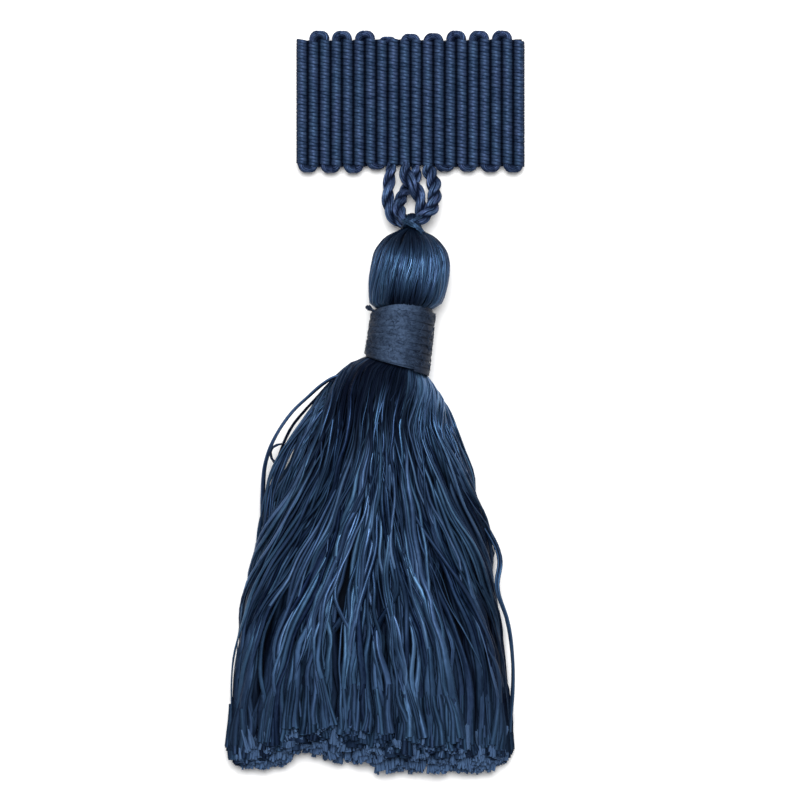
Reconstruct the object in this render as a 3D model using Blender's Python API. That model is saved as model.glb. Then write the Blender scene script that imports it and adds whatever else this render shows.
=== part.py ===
"""One tassel on one repeat of its ribbed braid heading, lying on its back.

X runs along the heading, Y runs from the cut ends of the skirt up to the heading, and Z points up
from the surface that the trim lies on. The origin is the middle of the heading's flat back. Copies
set REPEAT apart along X make the running trim again.
"""

import math
from collections import namedtuple

import bmesh
import bpy
from mathutils import Vector
from mathutils.geometry import interpolate_bezier

MM = 0.001
COLLECTION_NAME = "tassel_on_braid_heading"
GAP = 0.3 * MM  # clearance between pieces that touch

# Heading
RIB_COUNT = 20
RIB_PITCH = 1.57 * MM
REPEAT = RIB_COUNT * RIB_PITCH
WEB_HALF_DEPTH = 8.6 * MM
WEB_THICK = 1.0 * MM
CORD_THICK = 1.2 * MM
CORD_LEVEL = WEB_THICK + GAP + CORD_THICK / 2
CORD_SIDE_STEPS = 2  # Blender's bevel resolution: 8 sides
TURN_STEPS = 5

# How far each turn of the cord stands from the heading's middle, from left to right, in millimetres.
TOP_TURNS = (9.9, 9.9, 9.9, 9.1, 9.5, 9.6, 9.9, 9.9, 9.9)
BOTTOM_TURNS = (9.6, 9.7, 9.7, 9.2, 9.5, 9.5, 9.6, 9.6)
LOOP_START = -8.2 * MM  # where the cord leaves the heading for the long loops
LOOP_STEP = 0.6 * MM

# The two long loops that carry the tassel, in millimetres, each from its left rib to its right rib.
LoopPoint = namedtuple("LoopPoint", "x y z")
LEFT_LOOP = (
    LoopPoint(-2.75, -9.7, 2.2),
    LoopPoint(-3.02, -11.3, 2.8),
    LoopPoint(-3.05, -12.9, 3.3),
    LoopPoint(-2.85, -14.5, 3.6),
    LoopPoint(-2.2, -15.8, 3.75),
    LoopPoint(-1.2, -16.4, 3.75),
    LoopPoint(0.2, -16.5, 3.75),
    LoopPoint(1.25, -16.2, 3.75),
    LoopPoint(1.65, -15.2, 3.7),
    LoopPoint(1.35, -13.9, 3.65),
    LoopPoint(1.0, -12.8, 3.7),
    LoopPoint(0.6, -11.9, 3.75),
    LoopPoint(0.1, -11.1, 3.7),
    LoopPoint(-0.5, -10.1, 3.1),
    LoopPoint(-0.75, -9.2, 2.4),
)
RIGHT_LOOP = (
    LoopPoint(0.75, -9.2, 1.8),
    LoopPoint(0.45, -10.2, 1.65),
    LoopPoint(-0.1, -11.1, 1.65),
    LoopPoint(-0.75, -12.0, 1.9),
    LoopPoint(-1.25, -12.8, 2.6),
    LoopPoint(-1.5, -13.8, 3.6),
    LoopPoint(-1.45, -14.9, 4.8),
    LoopPoint(-1.0, -15.9, 5.4),
    LoopPoint(0.2, -16.5, 5.45),
    LoopPoint(1.2, -16.2, 5.45),
    LoopPoint(2.05, -15.5, 5.2),
    LoopPoint(2.7, -14.9, 4.7),
    LoopPoint(3.05, -14.0, 4.1),
    LoopPoint(3.2, -12.7, 3.5),
    LoopPoint(3.15, -11.3, 2.9),
    LoopPoint(2.75, -10.1, 2.3),
    LoopPoint(2.42, -9.2, 2.0),
)

# Eye: the floss at the top of the head that closes round the bottoms of both loops.
EYE_MIDDLE = Vector((0.25, -16.475, 4.6)) * MM
EYE_HALF_LENGTH = 1.275 * MM
EYE_HALF_HEIGHT = 2.15 * MM
EYE_BAND_WIDTH = 0.9 * MM
EYE_BAND_THICK = 0.7 * MM
EYE_SQUARENESS = 3.0
EYE_STEPS = 24
EYE_BAND_STEPS = 8

# Floss body: sections from the top of the head, through the neck, to the cut ends, in millimetres.
# tilt is how far a section drops in Y for each millimetre that it goes right.
Section = namedtuple("Section", "y left right bottom top tilt")
HEAD_SECTIONS = (
    Section(-18.4, -1.2, 1.4, 3.9, 6.6, 0.0),
    Section(-18.7, -2.9, 2.9, 2.6, 8.2, 0.0),
    Section(-19.3, -4.0, 4.0, 1.3, 9.5, 0.0),
    Section(-20.4, -4.9, 4.9, 0.2, 10.3, 0.0),
    Section(-22.0, -5.4, 5.35, -0.2, 10.8, 0.0),
    Section(-23.8, -5.7, 5.3, -0.3, 10.9, 0.0),
    Section(-25.6, -5.85, 5.0, -0.2, 10.7, 0.0),
    Section(-27.0, -5.8, 4.5, 0.1, 10.3, 0.0),
    Section(-27.6, -5.6, 3.8, 0.7, 9.8, 0.0),
)
NECK_SECTIONS = (
    Section(-27.9, -4.3, 2.3, 1.9, 8.5, 0.0),
    Section(-32.0, -4.75, 1.85, 1.9, 8.5, -0.15),
    Section(-36.2, -5.15, 1.45, 1.9, 8.5, -0.29),
)
SKIRT_SECTIONS = (
    Section(-36.5, -6.7, 2.1, 0.6, 9.7, -0.28),
    Section(-37.3, -8.1, 2.6, 0.1, 10.1, -0.25),
    Section(-38.5, -9.8, 3.7, -0.4, 10.3, -0.2),
    Section(-40.6, -12.2, 4.9, -1.0, 10.3, -0.12),
    Section(-44.0, -15.4, 6.2, -1.6, 10.1, -0.05),
    Section(-48.0, -17.9, 7.5, -1.9, 9.8, 0.0),
    Section(-53.0, -20.0, 8.9, -2.1, 9.3, 0.0),
    Section(-59.0, -21.1, 10.1, -2.1, 8.8, 0.0),
    Section(-67.0, -21.9, 11.2, -2.1, 8.3, 0.0),
    Section(-76.0, -22.9, 12.4, -2.1, 7.8, 0.0),
    Section(-83.0, -23.8, 13.1, -2.0, 7.3, 0.0),
    Section(-88.2, -24.5, 13.7, -1.9, 6.8, 0.0),
)
END_SECTIONS = (
    Section(-89.4, -24.5, 13.7, -1.6, 5.0, 0.0),
    Section(-91.0, -24.4, 13.6, -1.0, 1.4, 0.0),
)
BODY_STEPS = 88  # points round each section
SKIRT_BOXINESS = 0.8  # under 1, the sections are fuller than an ellipse
BOXY_AFTER = 5  # sections over which the neck's round form gives way to it

# The hollows between the skirt's clumps of yarn: where they run, as a share of the width from the
# left, how wide they are as a share, and how deep, in millimetres. They fan out with the skirt.
Hollow = namedtuple("Hollow", "share width depth")
HOLLOWS = (
    Hollow(0.07, 0.035, 1.0),
    Hollow(0.19, 0.040, 1.3),
    Hollow(0.33, 0.035, 0.8),
    Hollow(0.46, 0.045, 1.2),
    Hollow(0.60, 0.035, 0.8),
    Hollow(0.73, 0.040, 1.3),
    Hollow(0.86, 0.035, 0.9),
    Hollow(0.95, 0.030, 0.8),
)
HOLLOW_START = -38.0 * MM
HOLLOW_FULL = -66.0 * MM

# The line of the cut ends: how far past the last section they reach, in millimetres.
CutPoint = namedtuple("CutPoint", "x reach")
CUT_LINE = (
    CutPoint(-24.6, -1.2),
    CutPoint(-23.0, 0.0),
    CutPoint(-18.0, 0.1),
    CutPoint(-14.4, -1.9),
    CutPoint(-11.0, -0.7),
    CutPoint(-7.6, -0.4),
    CutPoint(-4.6, 0.8),
    CutPoint(4.0, 0.9),
    CutPoint(9.4, 0.9),
    CutPoint(12.6, -0.5),
    CutPoint(13.8, -1.6),
)
CUT_LINE_START = -84.0 * MM
CUT_LINE_FULL = -89.4 * MM

# Neck wrap: turns of thread round the neck.
WRAP_TOP = -28.2 * MM
WRAP_BOTTOM = -35.9 * MM
WRAP_TOP_MIDDLE = -0.98 * MM
WRAP_BOTTOM_MIDDLE = -1.85 * MM
WRAP_LEVEL = 5.2 * MM
WRAP_OUTER = 4.45 * MM
WRAP_INNER = 3.6 * MM
WRAP_BOTTOM_TILT = -0.29
WRAP_TURNS = 9
WRAP_TURN_DEPTH = 0.12 * MM
WRAP_STEPS = 24
WRAP_ROWS_PER_TURN = 2

# Finishes: colour, roughness
NAVY_CORD = ((0.022, 0.040, 0.082), 0.62)
NAVY_WEB = ((0.006, 0.011, 0.025), 0.85)
NAVY_FLOSS = ((0.021, 0.042, 0.088), 0.42)
NAVY_WRAP = ((0.031, 0.052, 0.098), 0.75)


def clear_scene():
    for thing in list(bpy.data.objects):
        bpy.data.objects.remove(thing)


def make_collection():
    collection = bpy.data.collections.new(COLLECTION_NAME)
    bpy.context.scene.collection.children.link(collection)
    return collection


def make_material(name, finish):
    colour, roughness = finish
    material = bpy.data.materials.new(name)
    material.use_nodes = True
    shader = material.node_tree.nodes["Principled BSDF"]
    shader.inputs["Base Color"].default_value = (*colour, 1.0)
    shader.inputs["Roughness"].default_value = roughness
    shader.inputs["Metallic"].default_value = 0.0
    return material


def place(thing, material, collection):
    for old in list(thing.users_collection):
        old.objects.unlink(thing)
    collection.objects.link(thing)
    thing.data.materials.append(material)
    return thing


def object_from_mesh(name, mesh_builder):
    """An object from a BMesh, with its faces pointing out."""
    bmesh.ops.recalc_face_normals(mesh_builder, faces=mesh_builder.faces)
    mesh = bpy.data.meshes.new(name)
    mesh_builder.to_mesh(mesh)
    mesh_builder.free()
    mesh.shade_smooth()
    mesh.set_sharp_from_angle(angle=math.radians(50))
    return bpy.data.objects.new(name, mesh)


def blend(value, start, full):
    """A smooth 0 to 1 as value goes from start to full."""
    share = min(max((value - start) / (full - start), 0.0), 1.0)
    return share * share * (3 - 2 * share)


def along(table, x):
    """The reach that a table of cut points gives at x, both in metres."""
    if x <= table[0].x * MM:
        return table[0].reach * MM
    for first, second in zip(table, table[1:]):
        if x <= second.x * MM:
            share = blend(x, first.x * MM, second.x * MM)
            return (first.reach + share * (second.reach - first.reach)) * MM
    return table[-1].reach * MM


def smooth_through(points, step):
    """Points about step apart on a smooth curve through the given ones."""
    ends = [2 * points[0] - points[1], *points, 2 * points[-1] - points[-2]]
    route = []
    for before, first, second, after in zip(ends, ends[1:], ends[2:], ends[3:]):
        count = max(2, round((second - first).length / step) + 1)
        lead = first + (second - before) / 6
        follow = second - (after - first) / 6
        route += interpolate_bezier(first, lead, follow, second, count)[:-1]
    return [*route, points[-1]]


def rib_x(number):
    """The middle of a rib, counted from 1 at the left."""
    return (number - (RIB_COUNT + 1) / 2) * RIB_PITCH


def turn(left_x, reach, side):
    """The cord's half circle from one rib to the next, above (side 1) or below (side -1)."""
    radius = RIB_PITCH / 2
    middle = Vector((left_x + radius, side * (reach - CORD_THICK / 2 - radius), CORD_LEVEL))
    points = []
    for step in range(TURN_STEPS + 1):
        angle = math.pi * step / TURN_STEPS
        points.append(middle + Vector((-math.cos(angle), side * math.sin(angle), 0)) * radius)
    return points


def long_loop(left_rib, table):
    """A loop that leaves the heading at one rib, passes through the eye and comes back at the next."""
    start = Vector((rib_x(left_rib), LOOP_START, CORD_LEVEL))
    end = Vector((rib_x(left_rib + 1), LOOP_START, CORD_LEVEL))
    return smooth_through([start, *(Vector(point) * MM for point in table), end], LOOP_STEP)


def cord_route():
    """The one cord of the heading: down and up its ribs, with the two long loops at the middle."""
    loops = {RIB_COUNT // 2 - 1: LEFT_LOOP, RIB_COUNT // 2 + 1: RIGHT_LOOP}
    top_turns = iter(TOP_TURNS)
    bottom_turns = iter(BOTTOM_TURNS)
    route = [Vector((rib_x(1), WEB_HALF_DEPTH, CORD_LEVEL))]
    for rib in range(1, RIB_COUNT):
        goes_down = rib % 2 == 1
        if rib in loops:
            route += long_loop(rib, loops[rib])
        elif goes_down:
            route += turn(rib_x(rib), next(bottom_turns) * MM, -1)
        else:
            route += turn(rib_x(rib), next(top_turns) * MM, 1)
    return [*route, Vector((rib_x(RIB_COUNT), WEB_HALF_DEPTH, CORD_LEVEL))]


def make_web():
    """The thin woven ground that the cord is bound to."""
    bpy.ops.mesh.primitive_cube_add(size=1.0, location=(0, 0, WEB_THICK / 2))
    web = bpy.context.object
    web.name = "heading_web"
    web.scale = (REPEAT - GAP, 2 * WEB_HALF_DEPTH, WEB_THICK)
    bpy.ops.object.transform_apply(location=False, rotation=False, scale=True)
    return web


def make_cord():
    data = bpy.data.curves.new("gimp_cord", "CURVE")
    data.dimensions = "3D"
    data.bevel_depth = CORD_THICK / 2
    data.bevel_resolution = CORD_SIDE_STEPS
    data.use_fill_caps = True
    route = cord_route()
    spline = data.splines.new("POLY")
    spline.points.add(len(route) - 1)
    for point, place_on_route in zip(spline.points, route):
        point.co = (*place_on_route, 1.0)
    return bpy.data.objects.new("gimp_cord", data)


def rounded(angle, power):
    """Cosine and sine of an angle, pulled towards a box as power falls below 1."""
    cosine, sine = math.cos(angle), math.sin(angle)
    return (
        math.copysign(abs(cosine) ** power, cosine),
        math.copysign(abs(sine) ** power, sine),
    )


def closed_ring(name, row_count, point_count, point_at):
    """A ring solid whose rows and whose points in a row both close on themselves."""
    builder = bmesh.new()
    rows = [
        [builder.verts.new(point_at(row, point)) for point in range(point_count)]
        for row in range(row_count)
    ]
    for row in range(row_count):
        here, following = rows[row], rows[(row + 1) % row_count]
        for point in range(point_count):
            other = (point + 1) % point_count
            builder.faces.new((here[point], here[other], following[other], following[point]))
    return object_from_mesh(name, builder)


def make_eye():
    """A flat band of floss, closed round the loops in the plane across them."""

    def point_at(row, point):
        along_y, along_z = rounded(math.tau * row / EYE_STEPS, 2 / EYE_SQUARENESS)
        out_y, out_z = rounded(math.tau * row / EYE_STEPS, 1.0)
        across = math.cos(math.tau * point / EYE_BAND_STEPS) * EYE_BAND_WIDTH / 2
        outward = math.sin(math.tau * point / EYE_BAND_STEPS) * EYE_BAND_THICK / 2
        return EYE_MIDDLE + Vector(
            (
                across,
                along_y * EYE_HALF_LENGTH + out_y * outward,
                along_z * EYE_HALF_HEIGHT + out_z * outward,
            )
        )

    return closed_ring("eye_band", EYE_STEPS, EYE_BAND_STEPS, point_at)


def make_wrap():
    """The wound band, with its lower edge dropping to the right as the thread was finished off."""
    turn_rows = WRAP_TURNS * WRAP_ROWS_PER_TURN
    row_shares = [row / turn_rows for row in range(turn_rows + 1)]

    def point_at(row, point):
        angle = math.tau * row / WRAP_STEPS
        if point <= turn_rows:
            share = row_shares[point]
            bulge = abs(math.sin(math.pi * share * WRAP_TURNS))
            radius = WRAP_OUTER - WRAP_TURN_DEPTH * (1 - bulge)
        else:
            share = float(point == turn_rows + 1)
            radius = WRAP_INNER
        sideways = math.cos(angle) * radius
        middle = WRAP_TOP_MIDDLE + share * (WRAP_BOTTOM_MIDDLE - WRAP_TOP_MIDDLE)
        level = WRAP_TOP + share * (WRAP_BOTTOM - WRAP_TOP)
        return Vector(
            (
                middle + sideways,
                level + share * WRAP_BOTTOM_TILT * sideways,
                WRAP_LEVEL + math.sin(angle) * radius,
            )
        )

    return closed_ring("neck_wrap", WRAP_STEPS, turn_rows + 3, point_at)


def hollow_depth(share):
    """How far the hollows lower the skirt's upper side at a share of its width."""
    return sum(h.depth * MM * math.exp(-(((share - h.share) / h.width) ** 2)) for h in HOLLOWS)


def section_points(section, power, in_skirt):
    """The points round one section of the floss, flat where it would go below the surface."""
    half_width = (section.right - section.left) / 2 * MM
    middle_x = (section.right + section.left) / 2 * MM
    half_height = (section.top - section.bottom) / 2 * MM
    middle_z = (section.top + section.bottom) / 2 * MM
    points = []
    for step in range(BODY_STEPS):
        across, up = rounded(math.tau * (step + 0.5) / BODY_STEPS, power)
        x = middle_x + across * half_width
        y = section.y * MM + section.tilt * across * half_width
        z = middle_z + up * half_height
        if in_skirt and up > 0:
            z -= hollow_depth((across + 1) / 2) * up * blend(y, HOLLOW_START, HOLLOW_FULL)
        y -= along(CUT_LINE, x) * blend(y, CUT_LINE_START, CUT_LINE_FULL)
        points.append(Vector((x, y, max(z, 0.0))))
    return points


def make_body():
    """Head, neck and skirt: one hank of floss, folded over the eye, bound at the neck and cut."""
    builder = bmesh.new()
    rounds = [section_points(section, 1.0, False) for section in (*HEAD_SECTIONS, *NECK_SECTIONS)]
    for number, section in enumerate((*SKIRT_SECTIONS, *END_SECTIONS)):
        power = 1.0 + (SKIRT_BOXINESS - 1.0) * min(number / BOXY_AFTER, 1.0)
        rounds.append(section_points(section, power, True))
    rows = [[builder.verts.new(point) for point in points] for points in rounds]
    for here, following in zip(rows, rows[1:]):
        for step in range(BODY_STEPS):
            other = (step + 1) % BODY_STEPS
            builder.faces.new((here[step], here[other], following[other], following[step]))
    half = BODY_STEPS // 2
    for end in (rows[0], rows[-1]):
        for step in range(half - 1):
            corners = (end[step], end[step + 1], end[-step - 2], end[-step - 1])
            builder.faces.new(corners)
    return object_from_mesh("floss_body", builder)


def main():
    clear_scene()
    collection = make_collection()
    place(make_web(), make_material("navy web", NAVY_WEB), collection)
    place(make_cord(), make_material("navy gimp cord", NAVY_CORD), collection)
    floss = make_material("navy floss", NAVY_FLOSS)
    place(make_eye(), floss, collection)
    place(make_body(), floss, collection)
    place(make_wrap(), make_material("navy wrapping thread", NAVY_WRAP), collection)


main()
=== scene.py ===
import math
from collections import namedtuple

import bpy
import numpy as np
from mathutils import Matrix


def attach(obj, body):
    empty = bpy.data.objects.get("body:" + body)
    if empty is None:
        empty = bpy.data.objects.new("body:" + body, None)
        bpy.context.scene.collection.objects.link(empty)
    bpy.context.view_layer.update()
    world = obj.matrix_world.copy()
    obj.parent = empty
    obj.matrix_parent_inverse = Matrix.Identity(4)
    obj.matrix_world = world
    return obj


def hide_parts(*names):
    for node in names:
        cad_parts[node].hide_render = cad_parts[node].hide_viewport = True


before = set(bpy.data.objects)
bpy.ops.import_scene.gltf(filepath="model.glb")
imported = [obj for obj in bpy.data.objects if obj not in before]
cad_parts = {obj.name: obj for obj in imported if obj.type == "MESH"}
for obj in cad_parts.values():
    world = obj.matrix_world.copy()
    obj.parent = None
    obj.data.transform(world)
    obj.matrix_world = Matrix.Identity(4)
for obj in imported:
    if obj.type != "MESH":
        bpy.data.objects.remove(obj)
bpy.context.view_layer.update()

# Sizes and places are in millimetres until a mesh is made, in the frame of the CAD: X along the heading,
# Y up the tassel, and Z up from the surface that it lies on. A table is a row of places and a row of the
# values at them.
MM = 0.001
CIRCLE = 2 * math.pi

# View: straight down on the flat lay, with a long lens
VIEW_MIDDLE = (-1.44, -40.9)
VIEW_LEVEL = 3.5
VIEW_WIDTH = 109.84
LENS = 300.0
SENSOR = 36.0

# Light: a large softbox above the heading and an even fill. The dye takes a little from every colour.
KEY_PLACE = (0.0, 255.0, 980.0)
KEY_AIM = (-2.0, -45.0, 5.0)
KEY_SIZE = 600.0
KEY_POWER = 15.3
FILL_LEVEL = 0.36
FLOOR_HALF = 1500.0
DYE = 0.88

# What a piece is: its material slot, and the CAD node that it stands for
WEB = ("web", "heading_web")
BINDING = ("gimp_cord", "heading_web")
CORD = ("gimp_cord", "gimp_cord")
EYE = ("floss", "eye_band")
FLOSS = ("floss", "floss_body")
WRAP = ("wrapping_thread", "neck_wrap")

# Heading, as the part's source has it
RIB_COUNT = 20
RIB_PITCH = 1.57
WEB_HALF_DEPTH = 8.6
WEB_WIDTH = 31.1
WEB_THICK = 1.0
CORD_LEVEL = 1.9
TOP_TURNS = (9.9, 9.9, 9.9, 9.1, 9.5, 9.6, 9.9, 9.9, 9.9)
BOTTOM_TURNS = (9.6, 9.7, 9.7, 9.2, 9.5, 9.5, 9.6, 9.6)
RIB_CORE = (-8.5, 8.5, 5)
RIB_CORE_LEVEL = CORD_LEVEL - 0.37

# Binding threads, and the way of one over a rib and under one: how far along, how high, and how much painted
# shade, most in the gaps between ribs and under them
BINDING_PAIRS = 38
BINDING_INSET = 0.15
BINDING_SLANT = -0.18
OVER_WAY = (
    (-0.45, -0.1, 0.97), (-0.40, 0.22, 0.8), (-0.29, 0.50, 0.08), (0.0, 0.64, 0.0),
    (0.29, 0.50, 0.08), (0.40, 0.22, 0.8), (0.45, -0.1, 0.97),
)
UNDER_WAY = ((-0.26, -0.5, 1.0), (0.0, -0.6, 1.0), (0.26, -0.5, 1.0))

# The cord in its turns at the heading's edges
TURN_RADIUS = 0.54
TURN_THREADS = 13
TURN_THREAD = 0.1
TURN_TWIST = 9.0

# The cord in the two long loops that carry the tassel: two plies, and for each loop the rib that it
# leaves, its twist and where that starts, how plump it is all along, and its way
PLY_RADIUS = 0.54
PLY_OFFSET = 0.25
PLY_THREADS = 14
PLY_THREAD = 0.13
LOOP_START = -7.4
Loop = namedtuple("Loop", "rib twist start plump way")
LOOPS = (
    Loop(9, 5.2, 1.2, (1, 1, 1, 1, 1.3, 1.1), (
        (-2.75, -9.7, 2.2), (-2.95, -11.0, 2.8), (-3.08, -12.6, 3.3), (-3.05, -14.2, 3.6),
        (-2.6, -15.5, 3.75), (-1.5, -16.5, 3.75), (0.1, -16.8, 3.75), (1.0, -16.2, 3.75),
        (1.42, -15.0, 3.7), (1.36, -13.8, 3.65), (1.1, -12.8, 3.75), (0.66, -11.9, 3.75),
        (0.02, -11.0, 3.7), (-0.5, -10.1, 3.1), (-0.72, -9.2, 2.4),
    )),
    Loop(11, 4.1, 4.3, (1, 1, 1, 1.2, 1.25), (
        (0.72, -9.2, 1.8), (0.62, -10.2, 1.7), (0.25, -11.0, 1.7), (-0.4, -11.8, 1.9),
        (-1.02, -12.6, 2.6), (-1.42, -13.6, 3.6), (-1.56, -14.8, 4.8), (-1.1, -15.9, 5.4),
        (0.2, -16.5, 5.45), (1.2, -16.2, 5.45), (2.1, -15.5, 5.2), (2.8, -14.8, 4.7),
        (3.12, -13.8, 4.1), (3.28, -12.5, 3.5), (3.2, -11.2, 2.9), (2.85, -10.1, 2.3),
        (2.45, -9.2, 2.0),
    )),
)

# Eye, and the few threads that cross over it
EYE_MIDDLE = (0.25, -16.475, 4.6)
EYE_THREADS = 110
EYE_CROSSINGS = (
    ((-0.9, -17.0, 6.3), (-0.4, -16.75, 6.8), (0.4, -16.4, 7.0), (1.3, -15.9, 6.4)),
    ((-1.5, -16.1, 5.6), (-0.8, -16.4, 6.7), (0.1, -16.8, 7.25), (0.9, -17.3, 7.4), (1.6, -17.9, 7.3)),
)

# Sections of the floss: the reach of each side, how far the section drops for each millimetre to the
# right, and how boxy it is below 1. No thread's middle lies lower than LEAST_LEVEL.
Section = namedtuple("Section", "y left right bottom top tilt power", defaults=(0.0, 1.0))
HEAD = [Section(*row) for row in (
    (-17.3, -0.9, 1.4, 3.2, 6.4),
    (-17.8, -1.9, 1.8, 2.6, 7.0),
    (-18.5, -3.3, 3.2, 1.6, 8.4),
    (-19.4, -4.2, 4.2, 0.8, 9.6),
    (-20.4, -4.9, 4.9, 0.3, 10.3),
    (-22.0, -5.4, 5.3, 0.2, 10.8),
    (-23.8, -5.75, 5.3, 0.2, 10.9),
    (-25.6, -5.85, 5.05, 0.2, 10.7),
    (-27.0, -5.75, 4.6, 0.3, 10.2),
    (-27.8, -5.5, 4.1, 0.7, 9.7),
    (-28.3, -4.6, 3.2, 1.5, 9.0),
    (-29.2, -4.0, 2.2, 2.1, 8.3),
)]
SKIRT = [Section(*row) for row in (
    (-34.6, -4.9, 1.6, 1.9, 7.9, -0.25),
    (-36.0, -5.4, 1.7, 1.7, 8.1, -0.28),
    (-36.6, -6.9, 2.3, 0.9, 8.4, -0.28),
    (-37.3, -8.1, 2.9, 0.5, 8.8, -0.25, 0.96),
    (-38.5, -9.6, 3.8, -0.4, 9.3, -0.2, 0.92),
    (-40.6, -11.8, 4.7, -1.0, 10.0, -0.12, 0.88),
    (-44.0, -14.1, 5.75, -1.6, 10.7, -0.05, 0.84),
    (-48.0, -15.6, 6.9, -1.9, 10.7, 0.0, 0.8),
    (-53.0, -17.7, 8.5, -2.1, 10.1, 0.0, 0.8),
    (-59.0, -20.2, 10.3, -2.1, 9.3, 0.0, 0.8),
    (-67.0, -22.4, 11.3, -2.1, 8.6, 0.0, 0.8),
    (-76.0, -23.7, 12.5, -2.1, 8.0, 0.0, 0.8),
    (-83.0, -24.2, 13.2, -2.0, 7.4, 0.0, 0.8),
    (-92.0, -24.5, 13.6, -1.9, 6.5, 0.0, 0.8),
)]
LEAST_LEVEL = 0.25

# Head: its core, its locks, the middle of its painted highlight band, how far down its painted light and
# shade change, and its two coats of threads
HEAD_CORE = (-17.6, -29.0, 18)
HEAD_LOCKS = 34
HEAD_STEPS = 25
PAINTED_GLEAM_Y = -22.7
HEAD_TOP_PAINTED_SHADE = (18.8, 21.6)
HEAD_SIDES_PAINTED_LIGHT = (21.5, 25.0)
HEAD_FOOT_PAINTED_SHADE = (24.6, 27.6)
Coat = namedtuple("Coat", "threads width sunk high dark")
# A coat's dark is the painted shade that all its threads carry
HEAD_COATS = (Coat(360, 0.095, 0.1, 0.62, 0.0), Coat(240, 0.23, 0.36, 0.5, 0.25))
HEAD_WIDTHS = ((0, 0.3, 1.0), (0.5, 1.0, 0.9))

# Skirt: its core, the section whose outline the yarns are shared round, the section at the cut, and how
# much lower the cut runs across the skirt
SKIRT_CORE = (-34.8, -84.5, 26)
OUTLINE_Y = -67.0
OUTLINE_STEPS = 720
CUT_Y = -88.0
CUT_LINE = (
    (-24.6, -23.0, -18.0, -14.4, -11.0, -7.6, -4.6, 4.0, 9.4, 12.6, 13.8),
    (-1.2, 0.0, 0.1, -1.9, -0.7, -0.4, 0.8, 0.9, 0.9, -0.5, -1.6),
)

# Down each yarn, as shares of its way: how far round the skirt is, how far it has fanned and how far short
# it falls at its narrowest, its locks, how freely yarns roll over each other, and their ribbons' sizes
GIRTH = ((0, 0.06, 0.2, 0.4, 1.0), (24, 34, 60, 74, 94))
FAN = (
    (0.0, 0.1, 0.15, 0.21, 0.32, 0.41, 0.56, 0.72, 0.85, 1.0),
    (0.92, 0.70, 0.64, 0.62, 0.66, 0.72, 0.84, 0.935, 0.98, 1.0),
)
FAN_NARROWING = 0.38
SKIRT_LOCKS = 19
ROLLING = ((0.0, 0.12, 0.35), (0.2, 0.4, 1.0))
RIBBON_WIDTHS = ((0, 0.12, 0.45, 0.75, 0.92, 1.0), (0.5, 0.55, 0.9, 1.15, 1.6, 1.8))
RIBBON_THICKS = ((0, 0.15, 0.5, 0.75, 0.9, 1.0), (0.6, 0.65, 1.0, 0.8, 0.45, 0.4))
FILAMENT_WIDTHS = ((0, 0.3, 1), (0.7, 1, 1.1))

# How far down the skirt's painted light and shade change: the painted sheen at its right, the painted shade
# under its shoulder and the few ribbons that bridge it, and the painted shade at its edges
PAINTED_SHEEN_ENDS = (39.5, 50.0)
PAINTED_SHEEN_DIMS = (39.5, 44.0)
SHOULDER_LIT_FROM = (38.5, 45.0)
SHOULDER_LIT_BY = (48.0, 61.0)
BRIDGE_SHARE = 0.07
BRIDGE_LIT = (37.5, 43.0)
BRIDGE_STARTS = (37.0, 39.0)
BRIDGE_ENDS = (50.0, 56.0)
RIGHT_EDGE_PAINTED_SHADE = (47.0, 55.0)
LEFT_EDGE_PAINTED_SHADE = (42.0, 48.0)

# Layers of the skirt: yarns, and ribbons, steps and sides of each; the first and last share of the way
# round; how far sunk; half width and half thickness; wander; lowest and highest shade, and how much
# painted shade; how well it keeps its spread below the neck; filaments of each opened end; seed
Layer = namedtuple(
    "Layer",
    "name yarns ribbons steps sides first last sunk width thick wander low high dark spread filaments seed",
)
SKIRT_LAYERS = [Layer(*row) for row in (
    ("skirt_outer_floss", 60, 3, 44, 6, 0.04, 0.96, 0.1, 0.31, 0.22, 1.0, -0.1, 0.82, 0.0, 0.62, 3, 21),
    ("skirt_middle_floss", 76, 2, 30, 6, 0.04, 0.96, 0.75, 0.40, 0.24, 0.9, 0.0, 0.6, 0.25, 0.80, 3, 22),
    ("skirt_inner_floss", 90, 2, 22, 5, 0.04, 0.96, 1.5, 0.5, 0.26, 0.8, 0.0, 0.5, 0.65, 0.95, 0, 23),
    ("skirt_loose_floss", 76, 1, 48, 6, 0.08, 0.92, -0.1, 0.22, 0.19, 1.2, 0.25, 1.0, 0.0, 0.62, 3, 24),
    ("skirt_fine_floss", 20, 1, 44, 4, 0.08, 0.92, -0.02, 0.10, 0.09, 1.5, 0.4, 0.9, 0.0, 0.64, 0, 25),
    ("skirt_back_floss", 60, 1, 16, 5, 0.84, 1.16, 0.3, 0.5, 0.2, 0.6, 0.0, 0.7, 0.3, 1.0, 3, 28),
)]

# The mass of yarn behind the cut ends: how deep each row lies, and how far behind the cut
PACKED_Y = -82.0
PACKED_ROWS = ((1.7, 2.2), (1.2, 1.3), (1.4, 0.9), (2.1, 0.8), (2.9, 0.8), (3.6, 0.8), (4.2, 0.8))

# Tufts of cut ends: the points of each fibre, as shares of its length back from its tip, how plump it is
# at each, and the corners of the room that they keep to
TUFTS = 800
TUFT_FIBRES = 6
TUFT_SHAPE = np.array(((1.0, 0.35, 0.0), (0.7, 1.0, 0.9)))
TUFT_LOWEST = (-24.2, -np.inf, 0.3)
TUFT_HIGHEST = (13.3, np.inf, 7.2)

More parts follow.
